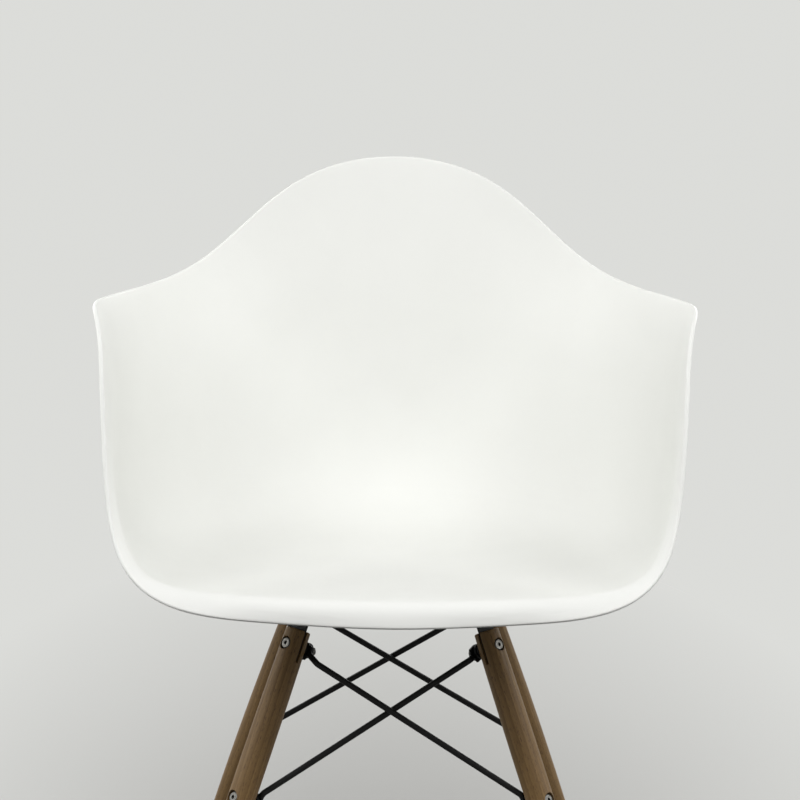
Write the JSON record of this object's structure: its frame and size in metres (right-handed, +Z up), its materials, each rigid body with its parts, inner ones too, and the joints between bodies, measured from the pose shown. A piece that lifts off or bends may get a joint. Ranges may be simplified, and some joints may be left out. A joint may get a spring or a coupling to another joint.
{
  "type": "moulded plastic shell chair",
  "caption": "White moulded plastic armchair shell on splayed round wooden legs braced by crossed black steel rods.",
  "frame": {"origin": "middle of the footprint box, on the floor", "axes": "+Z up, +Y towards the back of the chair, so the sitter faces -Y, +X to the right of a viewer in front"},
  "size_m": [0.6366, 0.5989, 0.8297],
  "materials": {
    "shell_plastic": "satin",
    "leg_wood": "satin",
    "black_steel": "satin",
    "zinc_steel": "satin",
    "glide_plastic": "matte",
    "mount_rubber": "matte",
    "block_plastic": "satin",
    "insert_brass": "satin"
  },
  "bodies": {
    "root": {"brace_collars_lower": "black_steel", "brace_collars_upper": "black_steel", "brace_rod_front_inner": "black_steel", "brace_rod_front_outer": "black_steel", "brace_rod_left_inner": "black_steel", "brace_rod_left_outer": "black_steel", "brace_rod_rear_inner": "black_steel", "brace_rod_rear_outer": "black_steel", "brace_rod_right_inner": "black_steel", "brace_rod_right_outer": "black_steel", "cross_bar_lower": "black_steel", "cross_bar_upper": "black_steel", "cross_rivet": "black_steel", "glide_front_left": "glide_plastic", "glide_front_right": "glide_plastic", "glide_rear_left": "glide_plastic", "glide_rear_right": "glide_plastic", "leg_bolts_lower": "zinc_steel", "leg_bolts_upper": "zinc_steel", "leg_front_left": "leg_wood", "leg_front_right": "leg_wood", "leg_nuts_lower": "zinc_steel", "leg_nuts_upper": "zinc_steel", "leg_rear_left": "leg_wood", "leg_rear_right": "leg_wood", "leg_washers_lower": "zinc_steel", "leg_washers_upper": "zinc_steel", "mount_block_front_left": "block_plastic", "mount_block_front_right": "block_plastic", "mount_block_rear_left": "block_plastic", "mount_block_rear_right": "block_plastic", "seat_shell": "shell_plastic", "shell_inserts": "insert_brass", "shell_screw_washers": "zinc_steel", "shell_screws": "zinc_steel", "shock_mount_front_left": "mount_rubber", "shock_mount_front_right": "mount_rubber", "shock_mount_rear_left": "mount_rubber", "shock_mount_rear_right": "mount_rubber"}
  },
  "joints": []
}
